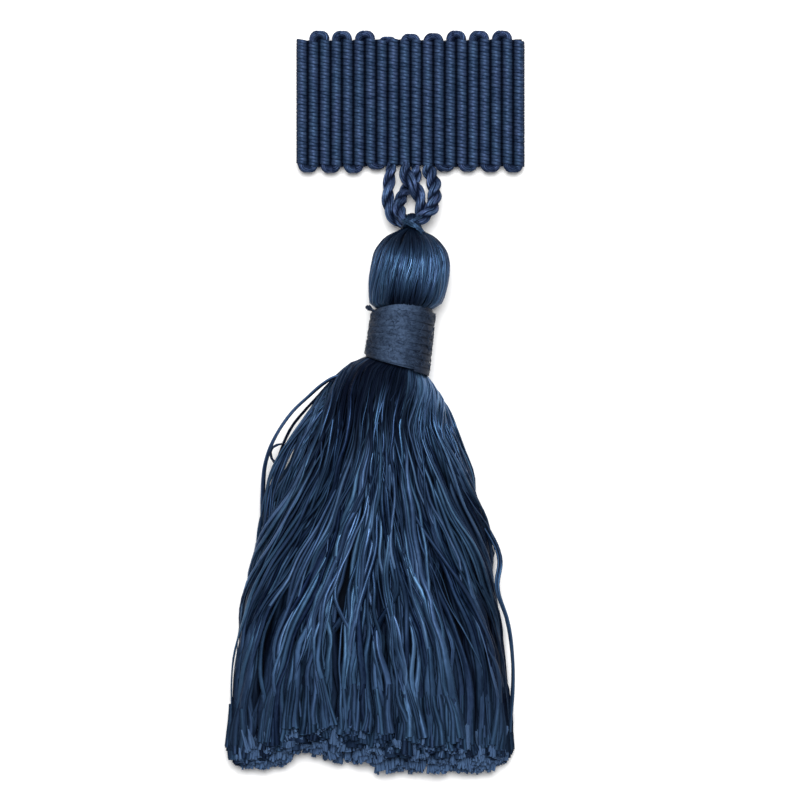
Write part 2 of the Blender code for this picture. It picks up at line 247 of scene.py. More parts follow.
# Bundles of stray threads: how many, how far apart, how dark, and their way
STRAYS = (
    (4, 0.09, 0.2, (
        (-8.6, -37.2, 5.8), (-10.6, -37.8, 5.8), (-12.3, -38.9, 5.6), (-14.1, -40.5, 5.4),
        (-16.0, -42.3, 5.2), (-17.6, -44.4, 5.0), (-19.0, -46.9, 4.8), (-19.9, -49.6, 4.4),
        (-20.3, -54.6, 3.8), (-20.2, -62.0, 2.6),
    )),
    (3, 0.06, 0.8, (
        (-9.6, -37.7, 5.6), (-11.0, -38.6, 5.6), (-13.0, -40.7, 5.4), (-14.5, -42.3, 5.2),
        (-15.97, -44.1, 5.0), (-17.6, -47.3, 4.8), (-18.6, -50.4, 4.4),
    )),
    (13, 0.36, 0.1, (
        (-9.2, -38.9, 6.0), (-12.1, -41.4, 6.2), (-14.2, -44.0, 6.2), (-16.9, -47.7, 6.0),
        (-18.5, -51.1, 5.8), (-19.4, -54.0, 5.4), (-20.1, -58.0, 4.8), (-20.2, -64.0, 2.6),
    )),
    (2, 0.1, 0.6, (
        (-17.6, -46.9, 5.4), (-18.3, -47.0, 5.9), (-19.2, -47.6, 5.6), (-19.3, -48.6, 5.2),
        (-18.6, -49.6, 5.0),
    )),
    (11, 0.36, 0.1, (
        (-9.6, -40.6, 7.2), (-12.0, -43.0, 7.4), (-13.9, -45.8, 7.2), (-16.0, -50.0, 6.8),
        (-17.8, -55.0, 6.0), (-18.8, -62.0, 3.6),
    )),
    (5, 0.17, 0.2, (
        (6.6, -50.0, 4.6), (9.3, -56.6, 4.6), (12.2, -62.9, 4.6), (11.7, -66.4, 5.0),
        (13.06, -71.0, 4.8), (13.9, -76.5, 4.2), (13.6, -86.5, 3.4),
    )),
)

# Neck wrap: its middle line, its two windings one over the other, and the ends of its thread's fibres
WRAP_TOP = -28.1
WRAP_BOTTOM = -35.9
WRAP_TOP_MIDDLE = -0.98
WRAP_BOTTOM_MIDDLE = -1.85
WRAP_LEVEL = 5.2
WRAP_OUTER = 4.45
WRAP_BOTTOM_TILT = -0.29
Winding = namedtuple("Winding", "turns thick wide inset")
WINDINGS = (Winding(20, 0.12, 0.42, 0.12), Winding(17, 0.1, 0.46, 0.0))
TAIL_ENDS = (
    (-6.0, -28.0, 6.9), (-6.05, -28.3, 6.7), (-5.85, -28.5, 6.8), (-5.7, -27.95, 7.2), (-6.1, -28.15, 6.4),
)
FUZZ_FIBRES = 560


# ---- numbers

def ease(value, start, full):
    """A smooth 0 to 1 as value goes from start to full."""
    share = np.clip((value - start) / (full - start), 0.0, 1.0)
    return share * share * (3 - 2 * share)


def smooth(known_at, known, at):
    """Values at any places on a smooth curve through the known ones."""
    known_at, known = np.asarray(known_at, float), np.asarray(known, float)
    slope = np.gradient(known, known_at)
    first = np.clip(np.searchsorted(known_at, at) - 1, 0, len(known_at) - 2)
    span = known_at[first + 1] - known_at[first]
    t = np.clip((at - known_at[first]) / span, 0.0, 1.0)
    return (
        known[first] * (1 + 2 * t) * (1 - t) ** 2
        + slope[first] * span * t * (1 - t) ** 2
        + known[first + 1] * t * t * (3 - 2 * t)
        - slope[first + 1] * span * t * t * (1 - t)
    )


def lengths_along(route):
    return np.concatenate([[0.0], np.cumsum(np.linalg.norm(np.diff(route, axis=0), axis=1))])


def smooth_route(points, step):
    """Points about step apart along a smooth curve through the given ones."""
    points = np.asarray(points, float)
    knots = lengths_along(points)
    fine = np.linspace(0, knots[-1], 40 * len(points))
    dense = np.stack([smooth(knots, points[:, axis], fine) for axis in range(3)], axis=1)
    reach = lengths_along(dense)
    even = np.linspace(0, reach[-1], max(2, round(reach[-1] / step) + 1))
    return np.stack([np.interp(even, reach, dense[:, axis]) for axis in range(3)], axis=1)


def places_of(x, y, z):
    """Points from rows of their three measures, or from one number for a whole row."""
    return np.stack(np.broadcast_arrays(x, y, z), axis=-1)


def unit(vectors):
    return vectors / np.maximum(np.linalg.norm(vectors, axis=-1, keepdims=True), 1e-9)


def sides_of(route):
    """Two directions square to a route at each of its points, which don't turn about it."""
    ahead = unit(np.gradient(route, axis=0))
    side = np.cross(ahead[0], (0.0, 0.0, 1.0))
    rows = []
    for direction in ahead:
        side = unit(side - direction * (side @ direction))
        rows.append(side)
    first = np.array(rows)
    return first, np.cross(first, ahead)


def ring(count):
    """Angles evenly spread round a circle."""
    return np.linspace(0, CIRCLE, count + 1)[:-1]


def rounded(turn, power):
    """Cosine and sine of an angle, pulled towards a box as power falls below 1."""
    cosine, sine = np.cos(turn), np.sin(turn)
    return np.sign(cosine) * np.abs(cosine) ** power, np.sign(sine) * np.abs(sine) ** power


def fan_point(table, y, turn, sunk):
    """Places round a table's sections: y down the floss, turn round it, sunk below its outside."""
    y, turn, sunk = np.broadcast_arrays(y, turn, sunk)
    rows = np.array(table)[::-1]
    left, right, bottom, top, tilt, power = (
        smooth(rows[:, 0], rows[:, column], y) for column in range(1, 7)
    )
    across, up = rounded(turn, power)
    half_width, half_height = (right - left) / 2, (top - bottom) / 2
    x = (left + right) / 2 + across * np.maximum(half_width - sunk, 0.2)
    z = (bottom + top) / 2 + up * np.maximum(half_height - sunk, 0.2)
    return places_of(x, y + tilt * across * half_width, np.maximum(z, LEAST_LEVEL))


def waves(draw, count, along, *parts):
    """Slow random waves for each thread, from parts of (size, fewest waves, most waves)."""
    total = np.zeros((count, len(along)))
    for size, fewest, most in parts:
        often = draw.uniform(fewest, most, count)[:, None]
        start = draw.uniform(0, CIRCLE, count)[:, None]
        size = size * draw.uniform(0.3, 1.3, count)[:, None]
        total += size * np.sin(CIRCLE * often * along[None] + start)
    return total


# ---- nodes and finishes

class Number:
    """What a node gives. Sums with it add Math nodes."""

    def __init__(self, nodes, socket):
        self.nodes, self.socket = nodes, socket

    def maths(self, operation, first, second):
        return self.nodes.node("ShaderNodeMath", {"operation": operation}, {0: first, 1: second})

    __add__ = __radd__ = lambda self, other: self.maths("ADD", self, other)
    __mul__ = __rmul__ = lambda self, other: self.maths("MULTIPLY", self, other)
    __sub__ = lambda self, other: self.maths("SUBTRACT", self, other)
    __rsub__ = lambda self, other: self.maths("SUBTRACT", other, self)


class Nodes:
    """A tree whose nodes are added one by one."""

    def __init__(self, tree):
        self.tree = tree

    def node(self, kind, settings=None, inputs=None, output=0):
        made = self.tree.nodes.new(kind)
        for name, value in (settings or {}).items():
            setattr(made, name, value)
        for name, value in (inputs or {}).items():
            self.feed(made.inputs[name], value)
        return Number(self, made.outputs[output])

    def feed(self, target, value):
        if isinstance(value, Number):
            self.tree.links.new(value.socket, target)
        else:
            target.default_value = value


class Finish(Nodes):
    """A material for threads, whose meshes say their shade, their painted shade and the way they run."""

    def __init__(self, name, **constants):
        self.material = bpy.data.materials.new(name)
        self.material.use_nodes = True
        super().__init__(self.material.node_tree)
        self.set(**constants)

    def set(self, **inputs):
        """Feeds the shader's inputs, named with _ for each space."""
        shader = self.tree.nodes["Principled BSDF"]
        for name, value in inputs.items():
            self.feed(shader.inputs[name.replace("_", " ")], value)

    def attribute(self, name, output="Fac"):
        return self.node("ShaderNodeAttribute", {"attribute_name": name}, output=output)

    def place(self):
        return self.node("ShaderNodeTexCoord", output="Object")

    def grain(self, size, stretch=(1.0, 1.0, 1.0), detail=3.0, roughness=0.6):
        """Noise whose spots are about size across, longer along the axes that stretch says."""
        scale = tuple(1 / (size * MM * longer) for longer in stretch)
        return self.noise(self.place(), scale, detail, roughness)

    def streaks(self, across, along):
        """Noise drawn out along each thread: how many spots lie across a millimetre, and along one."""
        return self.noise(self.attribute("lie", "Vector"), (across, along, 1.0), 2.0, 0.6)

    def noise(self, place, scale, detail, roughness):
        scaled = self.node("ShaderNodeMapping", None, {"Vector": place, "Scale": scale})
        inputs = {"Vector": scaled, "Scale": 1.0, "Detail": detail, "Roughness": roughness}
        return self.node("ShaderNodeTexNoise", None, inputs)

    def mix(self, share, first, second, blend="MIX"):
        settings = {"data_type": "RGBA", "blend_type": blend}
        return self.node("ShaderNodeMix", settings, {0: share, 6: first, 7: second}, output=2)

    def tinted(self, base, share, first, second):
        """base multiplied by a tint between the two given."""
        return self.mix(1.0, base, self.mix(share, first, second), "MULTIPLY")

    def levels(self, value, low, high):
        """value stretched so that low becomes 0 and high becomes 1."""
        inputs = {"Value": value, "From Min": low, "From Max": high}
        return self.node("ShaderNodeMapRange", {"clamp": True}, inputs)

    def relief(self, height, depth, strength):
        inputs = {"Height": height, "Distance": depth * MM, "Strength": strength}
        self.set(Normal=self.node("ShaderNodeBump", None, inputs))


def colour(red, green, blue):
    return (red * DYE, green * DYE, blue * DYE, 1.0)


def tint(red, green, blue):
    return (red, green, blue, 1.0)


def thread_finish(name, specular, metallic):
    """A new finish, with its threads' own shade and their painted shade."""
    finish = Finish(name, Specular_IOR_Level=specular, Metallic=metallic)
    return finish, finish.attribute("tone"), finish.attribute("painted_shade")


def floss_finish():
    """Satin floss: each thread its own shade, paler in its painted highlights and darkened by its painted
    shade, with fine filaments along it.
    """
    finish, tone, painted_shade = thread_finish("navy satin floss", 0.12, 0.8)
    fine = finish.streaks(7.0, 0.3)
    broad = finish.streaks(2.2, 0.12)
    patches = finish.streaks(0.8, 0.16)
    mottle = finish.streaks(3.2, 1.1)
    shade = tone * 0.78 + fine * 0.1 + broad * 0.5 + mottle * 0.4 + patches * 0.4 - 0.59
    base = finish.mix(shade, colour(0.0038, 0.0108, 0.034), colour(0.053, 0.112, 0.222))
    # The brightest tones, of bright yarns and of painted highlights, glints and sheen, take a paler gleam
    # colour
    base = finish.mix(finish.levels(shade, 0.75, 1.25), base, colour(0.120, 0.226, 0.410))
    hue = finish.levels(finish.streaks(0.1, 0.02), 0.42, 0.58)
    base = finish.tinted(base, hue, tint(1.04, 0.97, 1.02), tint(0.95, 1.03, 0.99))
    # Painted shade: colour mixed towards near black
    base = finish.mix(painted_shade, base, colour(0.0014, 0.0036, 0.0125))
    down = finish.node("ShaderNodeSeparateXYZ", None, {"Vector": finish.place()}, output="Y")
    open_end = finish.levels(down * (-1 / MM), 66.0, 82.0)
    finish.set(Base_Color=base, Roughness=fine * 0.1 + painted_shade * 0.35 + open_end * 0.2 + 0.33)
    finish.set(Metallic=0.8 - open_end * 0.15)
    finish.relief(fine * 0.15 + broad * 0.85, 0.04, 0.25)
    return finish.material


def fuzzy_finish(name, shine, fuzz, patches, shares, colours, roughness):
    """Matte thread with a fuzz of fine fibres: its cut ends, or the whole of the wrapping thread."""
    finish, tone, painted_shade = thread_finish(name, *shine)
    fuzz = finish.grain(*fuzz)
    patches = finish.grain(*patches)
    of_tone, of_fuzz, less = shares
    dark, light, painted_shade_colour = colours
    base = finish.mix(tone * of_tone + fuzz * of_fuzz + patches * 0.9 - less, dark, light)
    # Painted shade: colour mixed towards the painted shade colour
    base = finish.mix(painted_shade, base, painted_shade_colour)
    finish.set(Base_Color=base, Roughness=roughness + fuzz * 0.2)
    finish.relief(fuzz, 0.12, 0.8)
    return finish.material


def cut_finish(name, dark, light):
    """The cut ends of the floss: soft and fibrous, with little contrast."""
    fuzz, patches = (0.3, (1.0, 1.4, 1.0), 4.0, 0.7), (1.6, (1.0, 1.0, 1.0), 2.0)
    # The last colour is the painted shade colour
    colours = dark, light, colour(0.020, 0.042, 0.095)
    return fuzzy_finish(name, (0.1, 0.15), fuzz, patches, (0.55, 1.1, 0.95), colours, 0.7)


def wrap_finish():
    """Wrapping thread, slightly grey."""
    fuzz, patches = (0.26, (1.7, 1.0, 1.2), 6.0, 0.75), (0.9, (1.2, 1.0, 1.2))
    dark, light = colour(0.009, 0.019, 0.044), colour(0.055, 0.089, 0.157)
    # The last colour is the painted shade colour
    colours = dark, light, colour(0.004, 0.0065, 0.016)
    name = "matte navy wrapping thread"
    return fuzzy_finish(name, (0.15, 0.6), fuzz, patches, (0.4, 3.0, 1.7), colours, 0.5)


def painted_shade_finish():
    """The inside of the floss, coloured near black as painted shade, since hardly any light reaches it."""
    finish = Finish("navy floss in the dark", Specular_IOR_Level=0.05)
    fibres = finish.grain(0.3, (1.0, 12.0, 1.0))
    base = finish.mix(fibres, colour(0.0008, 0.0016, 0.004), colour(0.003, 0.006, 0.013))
    finish.set(Base_Color=base, Roughness=0.8)
    finish.relief(fibres, 0.2, 0.8)
    return finish.material


def cord_finish(name, dark, light, gleam, roughness):
    """Spun cord threads, each its own shade, softly shining, paler in painted highlights and darkened by
    painted shade.
    """
    finish, tone, painted_shade = thread_finish(name, 0.12, 0.55)
    streaks = finish.streaks(8.0, 0.8)
    patches = finish.grain(0.4)
    shade = tone * 0.6 + streaks * 0.4 + patches * 1.3 - 0.75
    base = finish.mix(shade, dark, light)
    # The brightest tones, of bright threads and of painted highlights, take the gleam colour
    base = finish.mix(finish.levels(shade, 0.75, 1.2), base, gleam)
    hue = finish.levels(finish.grain(1.3, (1.0, 4.0, 1.0), 2.0), 0.35, 0.65)
    base = finish.tinted(base, hue, tint(1.05, 0.97, 1.02), tint(0.94, 1.03, 1.0))
    # Painted shade: colour mixed towards near black
    base = finish.mix(painted_shade, base, colour(0.0007, 0.0040, 0.0170))
    finish.set(Base_Color=base, Roughness=streaks * 0.2 + painted_shade * 0.4 + (roughness - 0.1))
    finish.relief(streaks, 0.05, 0.6)
    return finish.material


def ground_finish():
    """The woven ground: fine crossing threads, very dark."""
    finish = Finish("dark navy ground weave", Specular_IOR_Level=0.1)
    place = finish.place()

    def threads(axis, scale):
        settings = {"wave_type": "BANDS", "bands_direction": axis}
        inputs = {"Vector": place, "Scale": scale, "Distortion": 0.6}
        return finish.node("ShaderNodeTexWave", settings, inputs)

    weave = threads("X", 1100.0) * threads("Y", 1500.0)
    base = finish.mix(weave, colour(0.004, 0.007, 0.015), colour(0.018, 0.032, 0.064))
    finish.set(Base_Color=base, Roughness=0.85)
    finish.relief(weave, 0.12, 0.8)
    return finish.material


def floor_finish():
    return Finish("white paper", Base_Color=tint(0.93, 0.93, 0.93), Roughness=0.9).material


# ---- making threads

class Threads:
    """Threads for one piece: the way of each, its half width and half thickness, its shade and its painted
    shade.
    """

    def __init__(self):
        self.rows = {}
        self.sizes = []

    def add(self, points, thick, tone=0.5, painted_shade=0.0, wide=None, side=(1.0, 0.0, 0.0), turn=0.0):
        """Threads along rows of points. A value is for all of them, for each, or for each point."""
        points = np.asarray(points, float)
        points = points[None] if points.ndim == 2 else points
        count, steps = points.shape[:2]

        def spread(value):
            value = np.asarray(value, float)
            value = value[:, None] if value.ndim == 1 and len(value) == count else value
            return np.broadcast_to(value, (count, steps))

        ahead = unit(np.gradient(points, axis=1))
        across = np.broadcast_to(np.asarray(side, float), points.shape)
        across = unit(across - ahead * np.sum(across * ahead, axis=2, keepdims=True))
        rise = np.cross(ahead, across)
        turn = spread(turn)[..., None]
        thick = spread(thick)[..., None]
        wide = thick if wide is None else spread(wide)[..., None]
        moves = np.diff(points, axis=1, prepend=points[:, :1])
        reach = np.cumsum(np.linalg.norm(moves, axis=2), axis=1)
        number = len(self.sizes) + np.arange(count)[:, None]
        made = {
            "middle": points * MM,
            "side": (across * np.cos(turn) + rise * np.sin(turn)) * wide * MM,
            "up": (rise * np.cos(turn) - across * np.sin(turn)) * thick * MM,
            "tone": spread(tone),
            # painted_shade: how far each point's colour is darkened towards near black, as painted shade
            "painted_shade": spread(painted_shade),
            "lie": places_of(0.0, reach, number * 7.3),
        }
        for name, values in made.items():
            self.rows.setdefault(name, []).append(values.ravel())
        self.sizes += [steps] * count

    def paths(self, name):
        """A mesh of edges, one row of them for each thread, with what the tree below reads."""
        mesh = bpy.data.meshes.new(name)
        ends = np.cumsum(self.sizes) - 1
        starts = np.setdiff1d(np.arange(ends[-1] + 1), ends)
        pairs = np.stack([starts, starts + 1], axis=1).astype(np.int32)
        mesh.vertices.add(ends[-1] + 1)
        mesh.edges.add(len(starts))
        mesh.edges.foreach_set("vertices", pairs.ravel())
        for attribute, rows in self.rows.items():
            values = np.concatenate(rows).astype(np.float32)
            if attribute == "middle":
                mesh.vertices.foreach_set("co", values)
            plain = attribute in ("tone", "painted_shade")
            made = mesh.attributes.new(attribute, "FLOAT" if plain else "FLOAT_VECTOR", "POINT")
            made.data.foreach_set("value" if plain else "vector", values)
        mesh.update()
        return mesh


def thread_tree():
    """Geometry nodes that sweep an oval section along every path, as wide and thick as the path says."""
    tree = bpy.data.node_groups.new("laid threads", "GeometryNodeTree")
    for name, kind in (("Paths", "Geometry"), ("Sides", "Int"), ("Finish", "Material")):
        tree.interface.new_socket(name, in_out="INPUT", socket_type="NodeSocket" + kind)
    tree.interface.new_socket("Threads", in_out="OUTPUT", socket_type="NodeSocketGeometry")
    nodes = Nodes(tree)
    node = nodes.node
    vectors = {"data_type": "FLOAT_VECTOR"}
    given = tree.nodes.new("NodeGroupInput").outputs
    paths, sides, finish = (Number(nodes, given[name]) for name in ("Paths", "Sides", "Finish"))

    def named(name):
        return node("GeometryNodeInputNamedAttribute", vectors, {"Name": name})

    def around(axis):
        return node("ShaderNodeSeparateXYZ", None, {"Vector": named("around")}, axis)

    def vector(operation, inputs, output=0):
        return node("ShaderNodeVectorMath", {"operation": operation}, inputs, output)

    def store(geometry, name, value):
        inputs = {"Geometry": geometry, "Name": name, "Value": value}
        return node("GeometryNodeStoreNamedAttribute", vectors | {"domain": "POINT"}, inputs)

    circle = node("GeometryNodeCurvePrimitiveCircle", None, {"Resolution": sides, "Radius": 1.0})
    profile = store(circle, "around", node("GeometryNodeInputPosition"))
    lines = node("GeometryNodeMeshToCurve", None, {"Mesh": paths})
    swept = {"Curve": lines, "Profile Curve": profile, "Fill Caps": True}
    laid = node("GeometryNodeCurveToMesh", None, swept)
    wide = vector("SCALE", {0: named("side"), "Scale": around("X")})
    thick = vector("SCALE", {0: named("up"), "Scale": around("Y")})
    place = vector("ADD", {0: named("middle"), 1: vector("ADD", {0: wide, 1: thick})})
    resting = vector("MAXIMUM", {0: place, 1: (-1.0, -1.0, 0.02 * MM)})
    shaped = node("GeometryNodeSetPosition", None, {"Geometry": laid, "Position": resting})
    width = vector("LENGTH", {0: named("side")}, "Value")
    aside = node("ShaderNodeCombineXYZ", None, {"X": around("X") * width * (1 / MM)})
    finished = store(shaped, "lie", vector("ADD", {0: named("lie"), 1: aside}))
    for helper in ("around", "side", "up", "middle"):
        finished = node("GeometryNodeRemoveAttribute", None, {"Geometry": finished, "Name": helper})
    soft = node("GeometryNodeSetShadeSmooth", None, {"Geometry": finished})
    real = node("GeometryNodeRealizeInstances", None, {"Geometry": soft})
    painted = node("GeometryNodeSetMaterial", None, {"Geometry": real, "Material": finish})
    nodes.feed(tree.nodes.new("NodeGroupOutput").inputs["Threads"], painted)
    return tree


THREAD_TREE = thread_tree()


def add_object(name, data):
    made = bpy.data.objects.new(name, data)
    bpy.context.scene.collection.objects.link(made)
    return made


def add_piece(name, mesh, stands_for):
    piece = add_object(name, mesh)
    slot, node = stands_for
    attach(piece, "root")
    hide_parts(node)
    return piece


def lay(name, threads, sides, material, stands_for):
    """One piece of all the threads."""
    paths = threads.paths(name + "_paths")
    carrier = add_object(name + "_paths", paths)
    modifier = carrier.modifiers.new("threads", "NODES")
    modifier.node_group = THREAD_TREE
    inputs = {"Sides": sides, "Finish": material}
    for socket in THREAD_TREE.interface.items_tree:
        if socket.name in inputs:
            modifier[socket.identifier] = inputs[socket.name]
    bpy.context.view_layer.update()
    graph = bpy.context.evaluated_depsgraph_get()
    mesh = bpy.data.meshes.new_from_object(carrier.evaluated_get(graph))
    mesh.name = name
    bpy.data.objects.remove(carrier)
    bpy.data.meshes.remove(paths)
    return add_piece(name, mesh, stands_for)


def loft(name, rows, material, stands_for):
    """A closed skin through rows of points, with its two ends filled."""
    rows = np.asarray(rows, float)
    count, around = rows.shape[:2]
    last = (count - 1) * around
    faces = [
        (row + point, row + other, row + around + other, row + around + point)
        for row in range(0, last, around)
        for point, other in zip(range(around), [*range(1, around), 0])
    ]
    faces.append(tuple(range(around))[::-1])
    faces.append(tuple(range(last, last + around)))
    mesh = bpy.data.meshes.new(name)
    mesh.from_pydata((rows.reshape(-1, 3) * MM).tolist(), [], faces)
    mesh.shade_smooth()
    mesh.materials.append(material)
    return add_piece(name, mesh, stands_for)


# ---- the heading

def rib_x(number):
    """The middle of a rib, counted from 1 at the left."""
    return (number - (RIB_COUNT + 1) / 2) * RIB_PITCH


def make_ground(material):
    """The flat woven ground of the heading."""
    top, half = WEB_THICK - 0.05, WEB_HALF_DEPTH - 0.05
    rows = []
    for x in np.linspace(-WEB_WIDTH / 2, WEB_WIDTH / 2, 64):
        crest = top + 0.04 * math.cos(CIRCLE * x / RIB_PITCH)
        edge = ((half - 0.1, 0.02), (half, 0.2), (half, crest - 0.15), (half - 0.15, crest))
        outline = [*((-y, z) for y, z in edge), (0.0, crest), *edge[::-1], (0.0, 0.02)]
        rows.append([(x, y, z) for y, z in outline])
    return loft("web_ground", rows, material, WEB)


def make_binding(material):
    """The threads that run along the heading, over and under its ribs by turns, and cover them."""
    draw = np.random.default_rng(11)
    threads = Threads()
    reach = WEB_HALF_DEPTH - BINDING_INSET
    pitch = 2 * reach / (2 * BINDING_PAIRS - 1)
    for number in range(2 * BINDING_PAIRS):
        y = number * pitch - reach
        lean = 1 if number // 2 % 2 else -1
        rows = []
        for rib in range(1, RIB_COUNT + 1):
            over = (rib + number) % 2 == 0
            shade = draw.uniform(0.3, 0.8)
            shift = 0.06 * math.sin(0.6 * rib + 0.4 * y) + draw.normal(0, 0.02)
            height = draw.normal(0, 0.02) * over
            for aside, rise, painted_shade in OVER_WAY if over else UNDER_WAY:
                tip = lean * aside * over
                slant = BINDING_SLANT * aside * RIB_PITCH * over
                x = rib_x(rib) + aside * RIB_PITCH
                # Each pick's raised side is lifted and carries a painted highlight in its tone
                z = CORD_LEVEL + rise + height + 0.12 * tip
                rows.append((x, y + shift + slant, z, shade + 0.3 * tip, painted_shade))
        rows = np.array(rows)
        threads.add(rows[:, :3], 0.08, rows[None, :, 3], rows[None, :, 4], 0.27, (0.0, 1.0, 0.0))
    return lay("rib_binding", threads, 6, material, BINDING)


def half_turn(left_x, reach, side):
    """The cord's way round from one rib to the next, past the edge of the heading."""
    radius = RIB_PITCH / 2
    across, out = rounded(np.linspace(0, math.pi, 13), 0.72)
    x = left_x + radius - radius * across
    y = side * (reach - TURN_RADIUS - radius) + side * radius * out
    arc = places_of(x, y, CORD_LEVEL + 0.05 * out)
    inside = side * (WEB_HALF_DEPTH - 2.2)
    lead, leave = ((rib, inside, CORD_LEVEL - 0.1) for rib in (left_x, left_x + RIB_PITCH))
    return [lead, *arc, leave]


def wound_cord(threads, route, draw, middle):
    """A filled cord whose fine threads run along it on a long twist, with painted shade near the middle of
    its turn.
    """
    along = lengths_along(route)
    side, up = sides_of(route)
    # Its filled middle carries painted shade
    threads.add(route, TURN_RADIUS - TURN_THREAD, 0.0, 0.7)
    for number in range(TURN_THREADS):
        around = CIRCLE * (number / TURN_THREADS - along / TURN_TWIST) + draw.uniform(-0.1, 0.1)
        around = around[:, None]
        reach = TURN_RADIUS - TURN_THREAD + draw.uniform(-0.02, 0.03)
        points = route + reach * (np.cos(around) * side + np.sin(around) * up)
        # Painted shade near the middle of the turn
        off = np.linalg.norm(points[:, :2] - middle, axis=1)
        painted_shade = 0.85 * (1 - ease(off, 0.45, 1.12))
        width = TURN_THREAD * draw.uniform(0.8, 1.2)
        threads.add(points, width, draw.uniform(0.0, 0.7), painted_shade[None], wide=TURN_THREAD * 1.8)


def ply_threads(threads, loop, route, draw):
    """Two plies twisted along a route, each of fine threads round a filled middle, with painted shade where
    they meet and a painted highlight where they face outward.
    """
    along = lengths_along(route)
    side, up = sides_of(route)
    full = 0.62 + 0.38 * ease(np.minimum(along, along[-1] - along), 1.2, 2.1)
    full = full * np.interp(along / along[-1], np.linspace(0, 1, len(loop.plump)), loop.plump)
    core = PLY_RADIUS - 0.06
    for ply in range(2):
        turn = (-CIRCLE * along / loop.twist + math.pi * ply + loop.start)[:, None]
        outward = np.cos(turn) * side + np.sin(turn) * up
        middle = route + PLY_OFFSET * full[:, None] * outward
        # The filled middle carries painted shade
        threads.add(middle, (core * full)[None], 0.3, 0.8)
        for number in range(PLY_THREADS):
            around = CIRCLE * number / PLY_THREADS + draw.uniform(-0.2, 0.2)
            around = around + 0.5 * along / loop.twist + 0.12 * np.sin(along * 2 + draw.uniform(0, 6))
            around = around[:, None]
            away = np.cos(around) * side + np.sin(around) * up
            reach = (core + draw.uniform(-0.02, 0.04)) * full[:, None]
            facing = np.sum(away * outward, axis=1)
            # Painted shade where the threads face the other ply, a painted highlight where they face outward
            painted_shade = 0.95 * (1 - ease(facing, -0.25, 0.55))
            tone = draw.uniform(0.1, 1.0) + 0.3 * ease(facing, 0.55, 1.0)
            width = PLY_THREAD * draw.uniform(0.7, 1.1)
            threads.add(middle + reach * away, width, tone[None], painted_shade[None], width * 1.3)


def make_cord(material):
    """The cord at the heading's edges and in its two long loops, and the cores of its ribs."""
    draw = np.random.default_rng(12)
    turns, ribs, loops = Threads(), Threads(), Threads()
    for number in range(1, RIB_COUNT + 1):
        core = [(rib_x(number), y, RIB_CORE_LEVEL) for y in np.linspace(*RIB_CORE)]
        # The rib cores carry some painted shade
        ribs.add(core, 0.6, 0.3, 0.5, 0.64)
    reaches = {1: iter(TOP_TURNS), -1: iter(BOTTOM_TURNS)}
    for rib in range(1, RIB_COUNT):
        if rib in [loop.rib for loop in LOOPS]:
            continue
        side = -1 if rib % 2 == 1 else 1
        reach = next(reaches[side])
        x = rib_x(rib) + RIB_PITCH / 2
        y = side * (reach - TURN_RADIUS - RIB_PITCH / 2)
        route = smooth_route(half_turn(rib_x(rib), reach, side), 0.2)
        wound_cord(turns, route, draw, (x, y))
        # A filler in the gap between two ribs, wholly in painted shade
        filler = [(x, y + side * out, level) for out, level in ((-0.5, 1.4), (0.0, 1.5), (0.3, 1.4))]
        turns.add(filler, 0.4, 0.0, 1.0)
    for loop in LOOPS:
        first, last = ((rib_x(rib), LOOP_START, CORD_LEVEL) for rib in (loop.rib, loop.rib + 1))
        ply_threads(loops, loop, smooth_route([first, *loop.way, last], 0.2), draw)
    for name, threads, sides in (("rib_cores", ribs, 8), ("cord_turns", turns, 5), ("cord_loops", loops, 5)):
        lay(name, threads, sides, material, CORD)


# ---- the eye and the head

def make_eye(material):
    """The floss that closes round the bottoms of both loops, and runs down into the head."""
    draw = np.random.default_rng(13)
    threads = Threads()
    angle = np.linspace(-0.5 * math.pi, 1.5 * math.pi, 34)
    out_y, out_z = rounded(angle, 2 / 3)
    width = 0.5 + 0.8 * ease(-out_y, -0.9, 0.9)
    for _ in range(EYE_THREADS):
        layer = draw.uniform(0.0, 0.3)
        spread = draw.uniform(-1, 1)
        sway = 0.08 * np.sin(angle * 2 + draw.uniform(0, 6))
        x = EYE_MIDDLE[0] - 0.1 + spread * width + sway
        y = EYE_MIDDLE[1] + out_y * (0.88 + layer) * np.sqrt(np.clip(1 - 0.35 * spread**2, 0, 1))
        z = EYE_MIDDLE[2] + out_z * (1.9 + layer)
        # The eye's threads carry much painted shade, the threads that cross over them less
        tone, painted_shade = draw.uniform(0.0, 0.7), draw.uniform(0.4, 0.75)
        threads.add(places_of(x, y, z), 0.07, tone, painted_shade, 0.11)
    for route in EYE_CROSSINGS:
        for _ in range(16):
            shift = draw.normal(0, 0.15, 3) * (1, 1, 0.3)
            twist = draw.normal(0, 0.12, (len(route), 3)) * (1, 1, 0.2)
            points = smooth_route(np.array(route) + shift + twist, 0.2)
            threads.add(points, 0.045, draw.uniform(0.5, 1.3), draw.uniform(0.0, 0.35), 0.06)
    lay("eye_floss", threads, 4, material, EYE)


